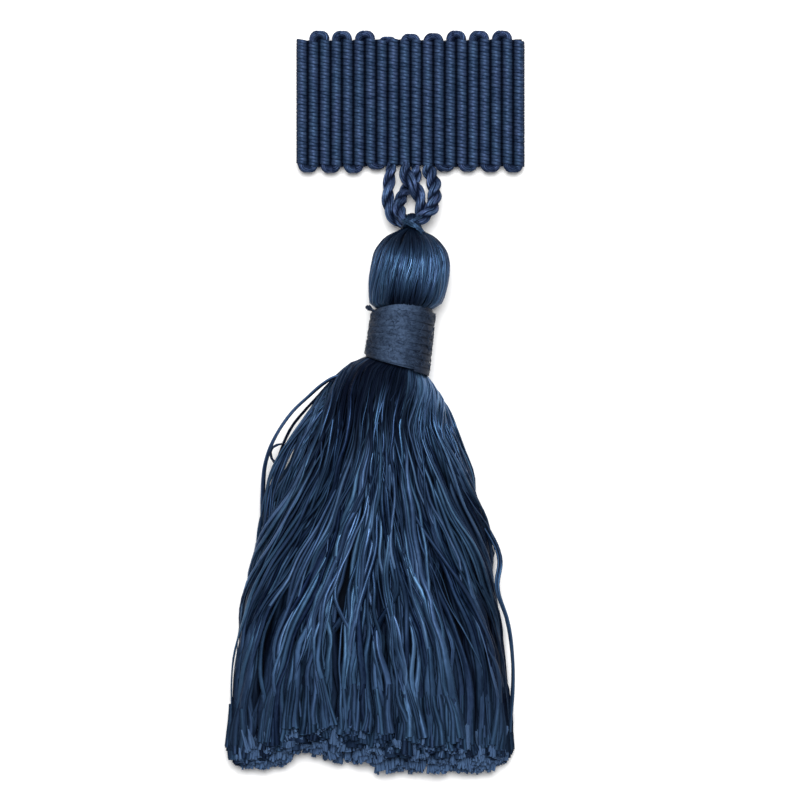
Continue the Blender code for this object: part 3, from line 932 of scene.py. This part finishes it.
def make_head(material, core_material):
    """The rounded head: floss spread over it from the eye to the wrap, in locks that lean and overlap."""
    draw = np.random.default_rng(14)
    threads = Threads()
    along = np.linspace(0, 1, HEAD_STEPS)
    line = along[None]
    y = HEAD[0].y + (HEAD[-1].y - HEAD[0].y) * (ease(line, 0, 1) * 0.35 + line * 0.65)
    lock_lean = draw.normal(0, 0.09, HEAD_LOCKS)[:, None] * (line - 0.5)
    lock_way = lock_lean + waves(draw, HEAD_LOCKS, along, (0.035, 0.5, 1.4), (0.016, 1.5, 3.0))
    lock_depth = waves(draw, HEAD_LOCKS, along, (0.09, 0.4, 1.2))
    lock_tone = draw.uniform(-0.15, 0.15, HEAD_LOCKS)
    lock_drop = draw.normal(0, 0.5, HEAD_LOCKS)
    for coat in HEAD_COATS:
        count = coat.threads
        own = (np.arange(count) + draw.random(count)) / count
        lock = (own * HEAD_LOCKS).astype(int)
        edge = 2 * (own * HEAD_LOCKS - lock) - 1
        wander = waves(draw, count, along, (0.014, 0.6, 1.6), (0.011, 2.0, 4.0), (0.004, 6.0, 9.0))
        turned = (CIRCLE * own)[:, None] + 0.2 * (line - 0.5) + lock_way[lock] + wander
        depth = coat.sunk + 0.14 * (edge**2)[:, None] + lock_depth[lock]
        depth = depth + waves(draw, count, along, (0.05, 0.5, 2.0))
        points = fan_point(HEAD, y, turned, depth)
        beside = fan_point(HEAD, y, turned - 0.02, depth)
        tone = draw.random(count) ** 1.4 + lock_tone[lock]
        tone = np.clip(tone[:, None] + waves(draw, count, along, (0.12, 1.0, 3.0)), 0, 1)
        # The painted highlight band: how far each thread lies from it, and how strongly each gleams
        off = PAINTED_GLEAM_Y - y + (lock_drop[lock] + draw.normal(0, 0.45, count))[:, None]
        lit = (draw.random(count) < 0.5) * draw.uniform(0.7, 1.3, count) + 0.15
        tone, shade = head_painted_light(coat, y, turned, tone, off, lit[:, None])
        # Painted shade: the coat's own, at the head's top and foot, and where threads lie deeper
        painted_shade = np.clip(coat.dark + shade + 0.7 * np.clip(depth - coat.sunk - 0.12, 0, 1), 0, 0.92)
        width = coat.width * draw.uniform(0.6, 1.3, count)[:, None] * np.interp(line, *HEAD_WIDTHS)
        spin = draw.uniform(-0.4, 0.4, count)[:, None] + waves(draw, count, along, (0.3, 0.5, 2.0))
        threads.add(points, 0.08, tone, painted_shade, width, beside - points, spin)
    lay("head_floss", threads, 5, material, FLOSS)
    # The head's core, coloured near black as painted shade
    rows = [fan_point(HEAD, y, ring(40), 0.8) for y in np.linspace(*HEAD_CORE)]
    loft("head_core", rows, core_material, FLOSS)


def head_painted_light(coat, y, turned, tone, off, lit):
    """The head's painted highlight in a band across its front, painted light down its sides, and painted
    shade at its top and bottom.
    """
    facing = 1 - ease(np.abs(np.cos(turned)), 0.35, 0.85)
    # A painted highlight band across the front
    band = np.exp(-((off / np.where(off < 0, 1.7, 2.3)) ** 2)) * (0.45 + 0.55 * facing)
    tone = coat.high * tone + 0.6 * band * lit * (coat.dark < 0.1)
    # Painted light down the sides
    tone = tone + 0.34 * (1 - facing) * ease(-y, *HEAD_SIDES_PAINTED_LIGHT)
    # Painted shade at the top, less at the right, and at the foot
    to_right = ease(np.cos(turned), 0.25, 0.75)
    shade = 0.68 * (1 - ease(-y, *HEAD_TOP_PAINTED_SHADE)) * (0.8 + 0.2 * facing) * (1 - 0.75 * to_right)
    return tone, shade + 0.75 * ease(-y, *HEAD_FOOT_PAINTED_SHADE) * facing


# ---- the skirt

def around_the_skirt():
    """Turns evenly spread along the skirt's outside, from the middle of its back, up over its front."""
    turns = np.linspace(math.radians(270), math.radians(-90), OUTLINE_STEPS)
    reach = lengths_along(fan_point(SKIRT, OUTLINE_Y, turns, 0.0))
    return reach / reach[-1], turns


SKIRT_TURNS = around_the_skirt()


def turn_at(share):
    return np.interp(np.mod(share, 1.0), *SKIRT_TURNS)


def cut_face(x, z):
    """Where the skirt is cut: lower down it near the surface than on top."""
    slope = 1 - np.clip((z - 2.4) / 4.8, 0, 1) ** 1.4 - 0.4 * np.clip((1.9 - z) / 1.9, 0, 1)
    return -86.5 - 4.4 * slope - np.interp(x, *CUT_LINE) * 0.9


def cut_level(x, z, draw):
    """Where each thread is cut, a little unevenly."""
    return cut_face(x, z) + np.clip(draw.normal(0, 0.3, len(x)), -0.5, 0.5)


def yarn_lanes(draw, layer, along, girth):
    """Each yarn's share of the way round the skirt, and its depth, at each step down."""
    count, line = layer.yarns, along[None]
    numbers = np.arange(count) + draw.uniform(-0.3, 1.3, count)
    own = layer.first + (layer.last - layer.first) * numbers / count
    size = layer.wander
    parts = ((size, 0.4, 1.2), (0.4 * size, 1.5, 3.0), (0.2, 3.5, 6.5), (0.11, 6.0, 11.0))
    wander = waves(draw, count, along, *parts)
    middle = 0.5 if layer.last < 1 else 1.0
    fan = 1.04 * (1 - (1 - np.interp(line, *FAN)) * (1 - layer.spread) / FAN_NARROWING)
    drawn = (1 - layer.spread) * ease(line, 0.03, 0.25) * (1 - ease(line, 0.3, 0.8))
    fan = fan * np.clip(np.abs(own - 0.5) * 2.2, 0.02, 1.0)[:, None] ** (1.2 * drawn)
    lane = middle + (own[:, None] - middle) * fan + wander * ease(line, 0.0, 0.25) / girth
    lock = (CIRCLE * own * SKIRT_LOCKS + 2.0 * np.sin(CIRCLE * own * 5))[:, None]
    lane = lane + 0.010 * np.cos(lock) * ease(line, 0.25, 0.6)
    rolls = waves(draw, count, along, (0.42, 0.6, 1.8), (0.14, 3.0, 7.0))
    level = layer.sunk + np.interp(line, *ROLLING) * rolls
    level = level + 0.5 * (0.4 - (0.5 + 0.5 * np.sin(lock))) * ease(line, 0.1, 0.4)
    return lane, level


def yarn_tones(draw, count, along):
    """Each yarn's shade, bright or dim, with slow changes and painted glints, and duller where it opens."""
    bright = draw.random(count) < 0.42
    tone = np.where(bright, draw.uniform(0.75, 1.2, count), draw.uniform(0.0, 0.4, count))[:, None]
    # Painted glints along the bright yarns
    painted_glint = np.clip(waves(draw, count, along, (1.0, 1.5, 4.0)) - 0.4, 0, 1)
    tone = tone + waves(draw, count, along, (0.2, 1.0, 4.0), (0.1, 4.0, 9.0))
    tone = tone + 0.5 * painted_glint * bright[:, None]
    return tone + (0.18 - 0.6 * tone) * ease(along[None], 0.7, 0.92)


def skirt_layer(threads, brushes, layer):
    """Yarns that fan out from the neck, wander, part and join their neighbours, and end in brushes."""
    draw = np.random.default_rng(layer.seed)
    count, total = layer.yarns, layer.yarns * layer.ribbons
    along = np.linspace(0, 1, layer.steps)
    line = along[None]
    girth = np.interp(line, *GIRTH)
    lane, level = yarn_lanes(draw, layer, along, girth)
    turning = draw.uniform(0, math.pi, count)[:, None] + waves(draw, count, along, (1.2, 0.5, 1.8))
    tone = yarn_tones(draw, count, along)

    # Each yarn is ribbons side by side, some of which part from it and join the next
    yarn = np.repeat(np.arange(count), layer.ribbons)
    place = np.linspace(-1, 1, layer.ribbons) if layer.ribbons > 1 else np.zeros(1)
    place = np.tile(place * 0.8 * (layer.ribbons - 1), count) + draw.normal(0, 0.2, total)
    way = draw.choice((-1, 1), count)[yarn]
    part_at = draw.uniform(0.12, 0.9, count)[yarn][:, None]
    part_over = draw.uniform(0.10, 0.22, count)[yarn][:, None]
    leaves = place * way > draw.uniform(-0.6, 2.2, count)[yarn]
    other = np.clip(yarn + way, 0, count - 1)
    gone = leaves[:, None] * ease(line, part_at, part_at + part_over)
    flat = 1 - 0.75 * ease(line, 0.78, 0.95)
    turn = turning[yarn] * flat
    wide = layer.width * draw.uniform(0.6, 1.4, total)[:, None] * np.interp(line, *RIBBON_WIDTHS)
    offset = place[:, None] * wide
    upward = offset * 0.5 * np.sin(turn) + draw.normal(0, 0.04, total)[:, None]
    sideways = offset * (0.3 + 0.7 * np.abs(np.cos(turn)))
    sideways = sideways + waves(draw, total, along, (0.2, 0.8, 2.5), (0.08, 3.0, 7.0))
    share = lane[yarn] + (lane[other] - lane[yarn]) * gone + sideways / girth
    depth = level[yarn] + (level[other] - level[yarn]) * gone - upward

    # Each is cut near the cut face. A few bridge the shoulder, and those at the right carry a painted sheen.
    last = fan_point(SKIRT, CUT_Y, turn_at(share[:, -1]), depth[:, -1])[:: layer.ribbons]
    shorter = np.clip(draw.normal(0.5, 0.6, count), 0.0, 1.8)
    end = (cut_level(last[:, 0], last[:, 2], draw) + shorter)[yarn] + draw.normal(0, 0.15, total)
    y = SKIRT[0].y + (end[:, None] - SKIRT[0].y) * line**1.1
    turned = turn_at(share)
    to_right = ease(np.cos(turned), 0.2, 0.75)
    painted_sheen = to_right * (1 - ease(-y, *PAINTED_SHEEN_ENDS))
    bridges = draw.random(total) < BRIDGE_SHARE
    over = bridges[:, None] * ease(-y, *BRIDGE_STARTS) * (1 - ease(-y, *BRIDGE_ENDS))
    depth = depth + 0.3 * painted_sheen * (layer.sunk < 0) - 0.25 * over * (layer.dark < 0.1)
    places = fan_point(SKIRT, y, turned, depth)
    beside = fan_point(SKIRT, y, turn_at(share + 0.004), depth)
    spin = draw.uniform(-0.4, 0.4, total)[:, None]
    spin = spin + waves(draw, total, along, (0.5, 0.6, 2.2), (0.25, 2.0, 5.0))

    # Painted shade: darker deep down, under the shoulder and at the edges, less near the ends and in the
    # painted sheen
    tone = np.clip(tone[yarn] + draw.normal(0, 0.13, total)[:, None], 0, 1.35)
    tone = (layer.low + (layer.high - layer.low) * tone) * (1 - 0.45 * over)
    lit_from = np.where(bridges, BRIDGE_LIT[0], draw.uniform(*SHOULDER_LIT_FROM, total))[:, None]
    lit_by = np.where(bridges, BRIDGE_LIT[1], draw.uniform(*SHOULDER_LIT_BY, total))[:, None]
    painted_shoulder_shade = 1 - ease(-y, lit_from, lit_by)
    painted_shoulder_shade = painted_shoulder_shade * (1 - to_right) * (1 - 0.5 * ease(-np.cos(turned), 0.6, 0.95))
    # Painted shade between yarns, growing with how deep each lies
    gaps = 0.8 - 0.2 * ease(line, 0.7, 0.9)
    # Painted shade at the right and left edges
    edge = 0.65 * ease(np.cos(turned), 0.6, 1.0) * ease(-y, *RIGHT_EDGE_PAINTED_SHADE)
    edge = edge + 0.24 * ease(-np.cos(turned), 0.75, 1.0) * ease(-y, *LEFT_EDGE_PAINTED_SHADE)
    painted_shade = layer.dark + gaps * np.clip(depth - layer.sunk, 0, 1) + painted_shoulder_shade + edge
    painted_shade = np.clip(painted_shade, 0, 0.95) * (1 - 0.92 * painted_sheen) * (1 - 0.6 * ease(line, 0.88, 1.0))
    # Painted sheen at the right shoulder, dimmer further down
    tone_with_painted_sheen = tone * (1 - 0.9 * painted_sheen) + (1.12 - 0.62 * ease(-y, *PAINTED_SHEEN_DIMS)) * painted_sheen
    thick = layer.thick * np.interp(line, *RIBBON_THICKS)
    threads.add(places, thick, tone_with_painted_sheen, painted_shade, wide, beside - places, spin * flat)
    if layer.filaments:
        fray(brushes, layer, draw, (share, depth, y, tone, painted_shade, girth))


def fray(brushes, layer, draw, ribbons):
    """The last of each ribbon, where it opens into a small brush of filaments with uneven tips."""
    opens = int(0.88 * layer.steps)
    share, depth, y, tone, painted_shade, girth = (rows[:, opens:] for rows in ribbons)
    opened = np.linspace(0, 1, share.shape[1])[None] ** 1.6
    total, times = len(share), layer.filaments
    count = total * times
    across = np.tile(np.linspace(-1, 1, times), total) + draw.normal(0, 0.3, count)
    reach = np.repeat(draw.uniform(0.2, 0.5, total), times)
    aside = (across * reach)[:, None] * (0.2 + 0.8 * opened)
    lift = draw.normal(0, 0.05, count)[:, None] + draw.normal(0, 0.12, count)[:, None] * opened
    longer = draw.normal(0.1, 0.2, count)[:, None] * opened**2
    share, depth, y, tone, painted_shade = (np.repeat(rows, times, axis=0) for rows in (share, depth, y, tone, painted_shade))
    places = fan_point(SKIRT, y - longer, turn_at(share + aside / girth), depth - 0.06 + lift)
    tone = tone + draw.normal(0, 0.06, count)[:, None]
    painted_shade = np.clip(painted_shade + draw.uniform(-0.1, 0.15, count)[:, None], 0, 0.9)
    width = draw.uniform(0.16, 0.34, count)[:, None] * np.interp(opened, *FILAMENT_WIDTHS)
    brushes.add(places, 0.3 * width, tone, painted_shade, width * 1.4)


def make_stubs(material):
    """The cut ends of the inner yarns, in soft tufts that show below those of the outer ones."""
    draw = np.random.default_rng(26)
    threads = Threads()
    turns = draw.uniform(0, CIRCLE, TUFTS)
    sunk = 0.1 + 4.1 * draw.random(TUFTS)
    x, _, z = fan_point(SKIRT, CUT_Y, turns, sunk).T
    z = np.clip(z, 0.4, None)
    end = cut_level(x, z, draw) + draw.uniform(-0.35, 0.35, TUFTS)
    tips = places_of(np.clip(x, -24.1, 13.2), end, z)
    aims = places_of(draw.normal(0, 0.2, TUFTS), -1.0, draw.normal(0.15, 0.25, TUFTS))
    size = draw.uniform(0.32, 0.6, TUFTS)
    tone = draw.uniform(0.3, 0.85, TUFTS)
    # Painted shade for each tuft, a little more on its solid middle
    dark = draw.uniform(0.0, 0.2, TUFTS)
    back, plump = TUFT_SHAPE
    for fibre in range(TUFT_FIBRES + 1):
        solid = fibre == TUFT_FIBRES
        away = draw.normal(0, 0.0 if solid else 0.6, (TUFTS, 2)) * size[:, None]
        splay = places_of(away[:, 0], -0.3 * np.abs(away[:, 1]), away[:, 1])
        tip = tips + splay
        tip[:, 1] -= draw.normal(-0.06 if solid else 0.0, 0.09, TUFTS)
        root = tips - aims * draw.uniform(1.5, 3.5, TUFTS)[:, None] + 0.4 * splay
        points = tip[:, None] + (root - tip)[:, None] * back[None, :, None]
        points = np.clip(points, TUFT_LOWEST, TUFT_HIGHEST)
        thick = 0.68 * size if solid else draw.uniform(0.09, 0.19, TUFTS)
        thick = thick[:, None] * plump
        own = tone + (0.0 if solid else 0.5) * draw.normal(0, 0.1, TUFTS)
        spin = draw.uniform(-0.9, 0.9, TUFTS)
        threads.add(points, 0.8 * thick, own, dark + (0.08 if solid else 0.0), thick * 1.4, turn=spin)
    lay("skirt_cut_ends", threads, 5, material, FLOSS)


def make_strays(material):
    """Small bundles of threads that stand away from the skirt's sides."""
    draw = np.random.default_rng(27)
    threads = Threads()
    for times, apart, dark, way in STRAYS:
        points = smooth_route(way, 0.8)
        along = np.linspace(0, 1, len(points))
        for _ in range(times):
            sway = waves(draw, 3, along, (0.9 * apart, 0.5, 1.5), (0.2 * apart, 2.0, 5.0)).T
            sway = sway + draw.normal(0, apart, 3)
            painted_shade = np.clip(dark + draw.uniform(-0.1, 0.15), 0, 1)
            threads.add(points + sway * (1.0, 0.0, 1.0), 0.11, draw.uniform(0.1, 0.9), painted_shade, 0.16)
    lay("skirt_stray_floss", threads, 6, material, FLOSS)


def make_packed_ends():
    """The close mass of yarn just behind the cut ends, which fills the gaps between them, coloured darker as
    painted shade.
    """
    turns = ring(128)
    rows = [fan_point(SKIRT, PACKED_Y, turns, 2.3)]
    for sunk, back in PACKED_ROWS:
        row = fan_point(SKIRT, CUT_Y, turns, sunk)
        row[:, 1] = cut_face(row[:, 0], row[:, 2]) + back
        rows.append(row)
    rows.append(fan_point(SKIRT, PACKED_Y, turns, 4.3))
    # Darker colours than the tufts' ends: painted shade in the gaps between them
    dark, light = colour(0.014, 0.028, 0.062), colour(0.040, 0.076, 0.152)
    finish = cut_finish("navy floss behind its cut ends", dark, light)
    loft("skirt_packed_ends", rows, finish, FLOSS)


def make_skirt(material, cut_material, core_material):
    brushes = Threads()
    for layer in SKIRT_LAYERS:
        threads = Threads()
        skirt_layer(threads, brushes, layer)
        lay(layer.name, threads, layer.sides, material, FLOSS)
    lay("skirt_brushes", brushes, 4, material, FLOSS)
    make_stubs(cut_material)
    make_strays(material)
    # The skirt's core, coloured near black as painted shade
    rows = [fan_point(SKIRT, y, ring(64), 2.1 if y < -38 else 0.9) for y in np.linspace(*SKIRT_CORE)]
    loft("skirt_core", rows, core_material, FLOSS)
    make_packed_ends()


# ---- the neck wrap

def wrap_place(share, angle, radius):
    """Places on the wrap: share of the way down it, angle round it, and distance from its middle line."""
    sideways = np.cos(angle) * radius
    middle = WRAP_TOP_MIDDLE + share * (WRAP_BOTTOM_MIDDLE - WRAP_TOP_MIDDLE)
    y = WRAP_TOP - 0.1 + share * (WRAP_BOTTOM - WRAP_TOP + 0.1)
    y = y + share * WRAP_BOTTOM_TILT * sideways - 0.75 * (1 - share) * np.cos(angle) ** 2
    return places_of(middle + sideways, y, WRAP_LEVEL + np.sin(angle) * radius)


def wind(threads, layer, winding):
    """The thread of one winding, round and round the neck, with painted shade at its sides and between its
    bulges, and a painted highlight a little left of its front.
    """
    share = np.linspace(0, 1, winding.turns * 44)
    angle = CIRCLE * winding.turns * share + layer
    sides = np.abs(np.cos(angle)) ** 3
    bulge = np.abs(np.sin(math.pi * share * 8.5)) ** 0.7
    wobble = 0.03 * np.sin(share * 61 + layer) + 0.02 * np.sin(angle * 1.37)
    radius = WRAP_OUTER - winding.thick - winding.inset
    radius = radius - (0.01 + 0.25 * sides) * (1 - bulge) + wobble * sides
    spots = wrap_place(share, angle, radius)
    spots[:, 1] += 0.1 * np.sin(angle * 0.5 + 7 * share + 2 * layer) + 0.05 * np.sin(angle * 1.7)
    # Painted shade at both sides and in the dips between bulges
    right = 0.7 * ease(np.cos(angle), 0.3, 0.85)
    left = 0.68 * ease(-np.cos(angle), 0.5, 0.95)
    painted_dip_shade = 0.22 * (1 - bulge) * ease(np.abs(np.cos(angle)), 0.35, 0.8)
    painted_shade = np.clip(right + left + painted_dip_shade, 0, 0.9)
    tone = 0.5 + 0.25 * np.sin(share * 90 + 3 * np.sin(angle * 0.3))
    # A painted highlight a little left of the front
    tone = tone + 0.6 * np.exp(-((angle % CIRCLE - 1.85) / 0.45) ** 2)
    plump = winding.thick * (0.35 + 0.65 * sides)
    threads.add(spots, plump[None], tone[None], painted_shade[None], winding.wide, (0.0, 1.0, 0.0))


def make_wrap(material):
    """The wound band round the neck, its fuzz of fibres, and the end of its thread."""
    draw = np.random.default_rng(15)
    threads, fuzz = Threads(), Threads()
    for layer, winding in enumerate(WINDINGS):
        wind(threads, layer, winding)
    for end in TAIL_ENDS:
        bend = 0.5 * (np.array((-5.2, -28.6, 7.1)) + end)
        route = [(-4.6, -28.9, 7.2), (-5.1, -28.7, 7.1), bend, end]
        # The thread's end carries some painted shade
        threads.add(smooth_route(route, 0.15), 0.16, 0.3, 0.5)
    lay("wrap_turns", threads, 10, material, WRAP)
    step = np.linspace(-0.5, 0.5, 6)
    for _ in range(FUZZ_FIBRES):
        share, angle = draw.uniform(0.02, 0.98), draw.uniform(-0.25 * math.pi, 1.25 * math.pi)
        length, lean = draw.uniform(0.4, 1.3), draw.uniform(-1.2, 1.2)
        curl = 0.12 * np.sin(step * 5 + draw.uniform(0, 6))
        turned = angle + (length * step * math.cos(lean)) / WRAP_OUTER
        down = share + (length * step * math.sin(lean) + curl) / (WRAP_TOP - WRAP_BOTTOM)
        spots = wrap_place(np.clip(down, 0.01, 0.99), turned, WRAP_OUTER + 0.02 - 0.05 * np.cos(step * 5))
        # Fibres at the sides carry painted shade
        fuzz.add(spots, 0.032, draw.uniform(0.2, 2.0), 0.5 * abs(math.cos(angle)) ** 3)
    lay("wrap_fuzz", fuzz, 4, material, WRAP)
    rows = [wrap_place(share, ring(40), WRAP_OUTER - 0.42) for share in np.linspace(0.02, 0.98, 8)]
    loft("wrap_core", rows, material, WRAP)


# ---- the stage

def make_camera():
    data = bpy.data.cameras.new("camera")
    data.lens = LENS
    data.sensor_width = SENSOR
    camera = add_object("camera", data)
    distance = VIEW_WIDTH * LENS / SENSOR
    camera.location = (VIEW_MIDDLE[0] * MM, VIEW_MIDDLE[1] * MM, (VIEW_LEVEL + distance) * MM)
    bpy.context.scene.camera = camera


def make_light():
    data = bpy.data.lights.new("overhead softbox", "AREA")
    data.shape = "DISK"
    data.size = KEY_SIZE * MM
    data.energy = KEY_POWER
    lamp = add_object("overhead softbox", data)
    place = np.array(KEY_PLACE) * MM
    down = np.array(KEY_AIM) * MM - place
    lamp.location = place
    lamp.rotation_euler = (-math.atan2(-down[1], -down[2]), -math.atan2(down[0], -down[2]), 0.0)
    world = bpy.data.worlds.new("studio")
    world.use_nodes = True
    back = world.node_tree.nodes["Background"]
    back.inputs["Color"].default_value = tint(1.0, 1.0, 1.0)
    back.inputs["Strength"].default_value = FILL_LEVEL
    bpy.context.scene.world = world
    bpy.context.scene.view_settings.view_transform = "Standard"


def make_floor():
    half = FLOOR_HALF * MM
    mesh = bpy.data.meshes.new("floor")
    corners = [(-half, -half, 0.0), (half, -half, 0.0), (half, half, 0.0), (-half, half, 0.0)]
    mesh.from_pydata(corners, [], [(0, 1, 2, 3)])
    mesh.materials.append(floor_finish())
    add_object("floor", mesh)


def main():
    make_camera()
    make_light()
    make_floor()
    floss = floss_finish()
    painted_shade_floss = painted_shade_finish()
    shades = colour(0.008, 0.018, 0.052), colour(0.067, 0.114, 0.238), colour(0.112, 0.170, 0.31)
    cord = cord_finish("navy gimp cord", *shades, 0.45)
    shades = colour(0.007, 0.020, 0.052), colour(0.053, 0.092, 0.184), colour(0.071, 0.109, 0.198)
    rib = cord_finish("navy binding thread", *shades, 0.54)
    ground = make_ground(ground_finish())
    binding = make_binding(rib)
    make_cord(cord)
    make_eye(floss)
    make_head(floss, painted_shade_floss)
    make_wrap(wrap_finish())
    dark, light = colour(0.046, 0.087, 0.180), colour(0.077, 0.144, 0.268)
    make_skirt(floss, cut_finish("navy floss at its cut ends", dark, light), painted_shade_floss)


main()
